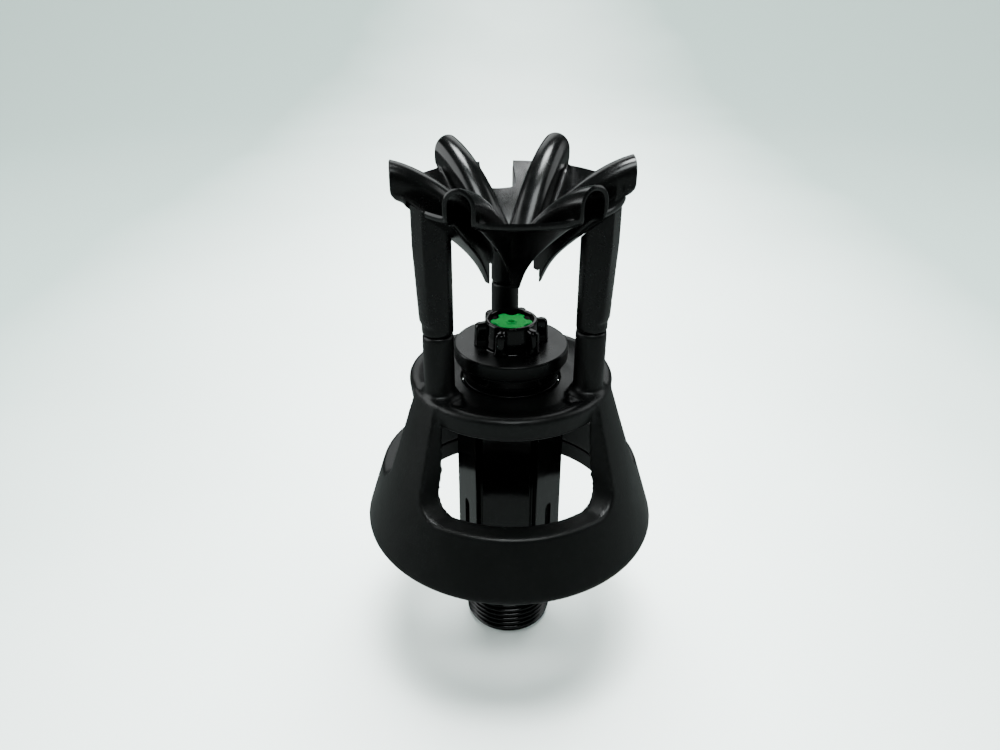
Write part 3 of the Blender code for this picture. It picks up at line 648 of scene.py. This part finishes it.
def makeNozzleInsert():
    look = insertShape
    angle = np.linspace(0, 2 * np.pi, 192, endpoint=False)
    wave = np.cos(6 * (angle - planAngle(look["lobeAzimuth"])))
    # lobes: a cosine raised to a small power, so that tips are flatter and flanks steeper
    lobe = look["middle"] + look["swing"] * np.sign(wave) * np.abs(wave) ** look["power"]

    def mixed(rows):
        return [(radius * (1 - share) + share * radius * lobe / look["middle"], height)
                for radius, share, height in rows]

    edge = [(lobe * share, height) for share, height in look["edge"]]
    rows = mixed(look["bore"]) + edge + mixed(look["barrel"])
    grid = np.stack([roundRow(radius, angle, height) for radius, height in rows])
    piece = surfaceObject("nozzleInsert", grid)
    # kept out of reflections: its colour would tint the glossy parts round it too strongly
    piece.visible_glossy = False
    finishPiece(piece, greenPlastic, "nozzle", ["nozzle_insert"], 40.0)


makeNozzleInsert()


# ---- legs: round post that grows a flat-sided fin outwards, its head cut to the web above

legShape = dict(
    radius=4.0, finHalf=3.2, finReach=4.75, finEdge=0.7, seam=104.1, finStart=106.2, finRise=1.6, finLow=0.35,
    length=22.4, clearance=0.04, notchStart=20.7,
    pilot=[(0, 103.0), (1.75, 103.0), (1.75, 113.0), (0, 113.5)],
    slot=[(-2.1, -8.0), (6.0, -8.0), (6.0, 3.4), (-2.1, 3.4)], slotLow=127.5, slotHigh=139.0,
    footHeights=[0.0, 0.1, 0.3, 0.5], footInsets=[0.45, 0.2, 0.05, 0.0])


def legSection(share):
    # circle, pushed out by a share from 0 to 1 towards a rounded rectangle on its -Y side
    look = legShape
    turn = np.linspace(0, 2 * np.pi, 96, endpoint=False)
    x, y = look["radius"] * np.sin(turn), -look["radius"] * np.cos(turn)
    onFin = (np.abs(x) <= look["finHalf"] + 0.02) & (y < 0)
    edge = np.clip((np.abs(x) - look["finHalf"] + look["finEdge"]) / look["finEdge"], 0, 1)
    target = -look["finReach"] + look["finEdge"] * (1 - np.sqrt(1 - edge ** 2))
    return x, np.where(onFin, y + (np.minimum(target, y) - y) * share, y)


def makeLeg(side, azimuth, headRise, slotted):
    look = legShape
    low = look["seam"]
    levels = np.concatenate([look["footHeights"], [1.5, 1.9, 2.3, 2.7, 3.1, 3.5],
                             np.linspace(5, look["length"], 9)])
    keep = 1 - np.interp(levels, look["footHeights"], look["footInsets"]) / look["radius"]
    fin = np.clip((levels + low - look["finStart"]) / look["finRise"], 0, 1)
    fin = fin * fin * (3 - 2 * fin) * (look["finLow"] + (1 - look["finLow"]) * levels / look["length"])
    rows = []
    for level, share, scale in zip(levels, fin, keep):
        x, y = legSection(share)
        rows.append(np.column_stack([x * scale, y * scale, np.full(len(x), low + level)]))
    # the head follows the underside of the web, and rises into a notch where there is one
    x, y = legSection(1.0)
    reach = np.hypot(x, postCircle - y)
    rise = headRise * np.clip((reach - look["notchStart"]) / 0.5, 0, 1)
    top = webHeight(reach) - look["clearance"] + rise
    middle = webHeight(postCircle + 0.3) - look["clearance"] + headRise
    rows += [np.column_stack([x, y, top - 0.15]), np.column_stack([x * 0.97, y * 0.97, top])]
    # both ends close on one point a little outwards of the axis
    ends = [np.zeros((len(x), 3)) + np.array([0.0, -0.3, height]) for height in (low, middle)]
    grid = placed(np.stack([ends[0]] + rows + [ends[1]]), azimuth, postCircle)
    piece = surfaceObject("post" + side.capitalize(), grid, wrapRows=False)
    tools = [turnedTool("pilot", look["pilot"], 32, azimuth)]
    if slotted:
        # the head is cut away under the notch of its web
        outline = roundedLoop(look["slot"], 0.6, 5)
        tools.append(prism("headSlot", outline, look["slotLow"], look["slotHigh"], azimuth, postCircle))
    cut(piece, tools)
    finishPiece(piece, legBlack, "wobbler", ["leg_" + side], 38.0)


makeLeg("left", legAzimuths[0], 1.3, False)
makeLeg("right", legAzimuths[1], 0.0, False)
makeLeg("back", legAzimuths[2], 0.0, True)


# ---- leg screws: pan head with a hexagon socket, shank and point

# socket is (share of a unit hexagon, height); shank is (radius, height)
screwShape = dict(
    socket=[(0.93, 82.7), (1.0, 82.6), (1.0, 81.95), (1.1, 81.85)],
    shank=[(1.9, 81.8), (2.35, 81.9), (2.65, 82.2), (2.7, 82.6), (2.7, 83.4), (2.6, 83.6), (1.6, 83.6),
           (1.45, 83.8), (1.45, 110.8), (0.9, 112.0), (0.0, 112.0)])


def makeLegScrew(side, azimuth):
    look = screwShape
    angle = np.linspace(0, 2 * np.pi, 48, endpoint=False)
    hexagon = 1.0 / np.cos(angle % (np.pi / 3) - np.pi / 6)
    rows = [(0.0, 82.75), (0.05, 82.75)] + [(share * hexagon, height) for share, height in look["socket"]]
    grid = np.stack([roundRow(radius, angle, height) for radius, height in rows + look["shank"]])
    piece = surfaceObject("screw" + side.capitalize(), placed(grid, azimuth, postCircle), wrapRows=False)
    finishPiece(piece, plainSteel, "wobbler", ["leg_screw_" + side])


for legSide, legAzimuth in zip(("left", "right", "back"), legAzimuths):
    makeLegScrew(legSide, legAzimuth)


# ---- solids kept from the frame take finished materials

def carryOver(material, name):
    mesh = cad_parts[name].data
    mesh.materials.clear()
    mesh.materials.append(material)


carryOver(plainSteel, "weight_ring")
carryOver(whitePlastic, "flow_straightener")
print("carried-over solids finished")


# ---- floor, light and camera, in metres

# the floor's middle and outer colours are painted light: a lighter pool in the middle that falls off to
# darker sides between the last two distances
floorShape = dict(
    flatSteps=[0.0, 0.1, 0.2, 0.35, 0.5, 0.65, 0.8], flatEnd=0.8, bendRadius=0.9, wallSteps=[1.4, 2.2],
    middle=(0.84, 0.885, 0.87, 1.0), outer=(0.29, 0.36, 0.34, 1.0), spread=(1.0, 0.15, 0.1), cloudiness=0.06,
    paintedLightFalloffStart=0.07, paintedLightFalloffEnd=0.32)

# below and above are the surroundings' colours under and over the horizon
# each light is: place, size, watts, colour, whether reflections show it, and the point that it faces
studioLook = dict(
    below=(0.27, 0.31, 0.30, 1.0), above=(0.04, 0.047, 0.045, 1.0), aim=(0.0, 0.0, 0.09),
    lights=dict(
        overhead=((0.03, 0.12, 0.8), (0.5, 0.45), 28.0, (0.94, 1.0, 0.98), False, (0.03, 0.12, 0.0)),
        backWash=((0.0, 1.0, 1.2), (1.2, 0.8), 42.0, (0.94, 1.0, 0.98), False, (0.0, 1.35, 0.0)),
        frontFill=((0.0, -1.0, 0.8), (1.2, 0.8), 5.0, (0.95, 1.0, 0.985), False),
        topPanel=((0.0, 0.14, 1.0), (0.3, 0.28), 7.0, (0.96, 1.0, 1.0), True),
        frontPanel=((0.05, -0.38, 0.9), (0.35, 0.3), 2.2, (0.94, 1.0, 1.0), True),
        skyPanel=((0.0, 0.75, 0.62), (0.9, 0.5), 2.0, (0.96, 1.0, 1.0), True),
        leftPanel=((-0.7, 0.0, 0.4), (0.6, 0.6), 2.6, (0.96, 1.0, 1.0), True),
        rightPanel=((0.7, 0.1, 0.45), (0.5, 0.6), 1.4, (0.96, 1.0, 1.0), True)))

cameraLook = dict(place=(0.0, -0.1947, 0.1926), pitch=28.95, yaw=-0.87, roll=0.28, lens=29.12)


def colourRamp(tree, source, first, last, target):
    ramp = addNode(tree, "ShaderNodeValToRGB")
    ramp.color_ramp.elements[0].color = first
    ramp.color_ramp.elements[1].color = last
    tree.links.new(source, ramp.inputs["Fac"])
    tree.links.new(ramp.outputs["Color"], target)


def floorMaterial():
    # painted light falloff: the colour goes from the lighter middle colour to the darker outer one with
    # distance from the middle, counted mostly sideways, plus a little cloudiness
    look = floorShape
    material = bpy.data.materials.new("paleSweep")
    material.use_nodes = True
    tree = material.node_tree
    shader = tree.nodes["Principled BSDF"]
    shader.inputs["Roughness"].default_value = 0.7
    coords = addNode(tree, "ShaderNodeTexCoord")
    cloud = addNode(tree, "ShaderNodeTexNoise", Scale=6.0, Detail=2.0)
    sideways = addNode(tree, "ShaderNodeVectorMath", operation="MULTIPLY")
    sideways.inputs[1].default_value = look["spread"]
    away = addNode(tree, "ShaderNodeVectorMath", operation="LENGTH")
    total = addNode(tree, "ShaderNodeMath", operation="MULTIPLY_ADD")
    total.inputs[1].default_value = look["cloudiness"]
    tree.links.new(coords.outputs["Object"], cloud.inputs["Vector"])
    tree.links.new(coords.outputs["Object"], sideways.inputs[0])
    tree.links.new(sideways.outputs["Vector"], away.inputs[0])
    tree.links.new(cloud.outputs["Fac"], total.inputs[0])
    tree.links.new(away.outputs["Value"], total.inputs[2])
    # painted light: the floor is coloured lighter in the middle and darker outwards
    level = remapped(tree, total.outputs["Value"], look["paintedLightFalloffStart"], look["paintedLightFalloffEnd"])
    colourRamp(tree, level, look["middle"], look["outer"], shader.inputs["Base Color"])
    return material


def makeFloor():
    # a sweep: flat disc, quarter circle and wall, turned about the Z axis
    look = floorShape
    bend = np.radians(np.linspace(0, 90, 24))[1:]
    outer = look["flatEnd"] + look["bendRadius"]
    curve = look["flatEnd"] + look["bendRadius"] * np.sin(bend)
    radius = np.concatenate([look["flatSteps"], curve, [outer, outer]])
    height = np.concatenate([0.0 * np.array(look["flatSteps"]), look["bendRadius"] * (1 - np.cos(bend)),
                             look["wallSteps"]])
    grid = turnedGrid(np.column_stack([radius, height]) / mm, 128)
    floor = surfaceObject("floorSweep", grid, wrapRows=False)
    # the sweep is seen from inside, so its faces are turned upwards
    shape = bmesh.new()
    shape.from_mesh(floor.data)
    if sum(face.normal.z for face in shape.faces) < 0:
        bmesh.ops.reverse_faces(shape, faces=shape.faces)
    shape.to_mesh(floor.data)
    shape.free()
    floor.data.polygons.foreach_set("use_smooth", np.ones(len(floor.data.polygons), bool))
    floor.data.materials.append(floorMaterial())
    floor.visible_glossy = False


def areaLight(name, place, size, watts, colour, inReflections, aim=studioLook["aim"]):
    light = bpy.data.lights.new(name, "AREA")
    light.shape = "RECTANGLE"
    light.size, light.size_y = size
    light.energy = watts
    light.color = colour
    lamp = bpy.data.objects.new(name, light)
    bpy.context.scene.collection.objects.link(lamp)
    lamp.location = place
    lamp.rotation_euler = (Vector(aim) - Vector(place)).to_track_quat("-Z", "Y").to_euler()
    lamp.visible_glossy = inReflections


def makeLight():
    # surroundings: dim above the horizon and lighter below it, where reflections would show the pale floor
    world = bpy.data.worlds.new("studio")
    world.use_nodes = True
    tree = world.node_tree
    coords = addNode(tree, "ShaderNodeTexCoord")
    split = addNode(tree, "ShaderNodeSeparateXYZ")
    tree.links.new(coords.outputs["Generated"], split.inputs["Vector"])
    level = remapped(tree, split.outputs["Z"], -0.5, 0.15)
    background = tree.nodes["Background"].inputs["Color"]
    colourRamp(tree, level, studioLook["below"], studioLook["above"], background)
    bpy.context.scene.world = world
    for name, settings in studioLook["lights"].items():
        areaLight(name, *settings)


def makeCamera():
    look = cameraLook
    pitch, yaw, roll = (math.radians(look[key]) for key in ("pitch", "yaw", "roll"))
    ahead = Vector((math.sin(yaw) * math.cos(pitch), math.cos(yaw) * math.cos(pitch), -math.sin(pitch)))
    level = Vector((math.cos(yaw), -math.sin(yaw), 0))
    above = level.cross(ahead)
    right = math.cos(roll) * level + math.sin(roll) * above
    up = -math.sin(roll) * level + math.cos(roll) * above
    data = bpy.data.cameras.new("camera")
    data.lens = look["lens"]
    data.sensor_width = 36.0
    data.clip_start = 0.005
    camera = bpy.data.objects.new("camera", data)
    bpy.context.scene.collection.objects.link(camera)
    turn = Matrix((right, up, -ahead)).transposed().to_4x4()
    camera.matrix_world = Matrix.Translation(look["place"]) @ turn
    bpy.context.scene.camera = camera


makeFloor()
makeLight()
makeCamera()
print("studio ready")
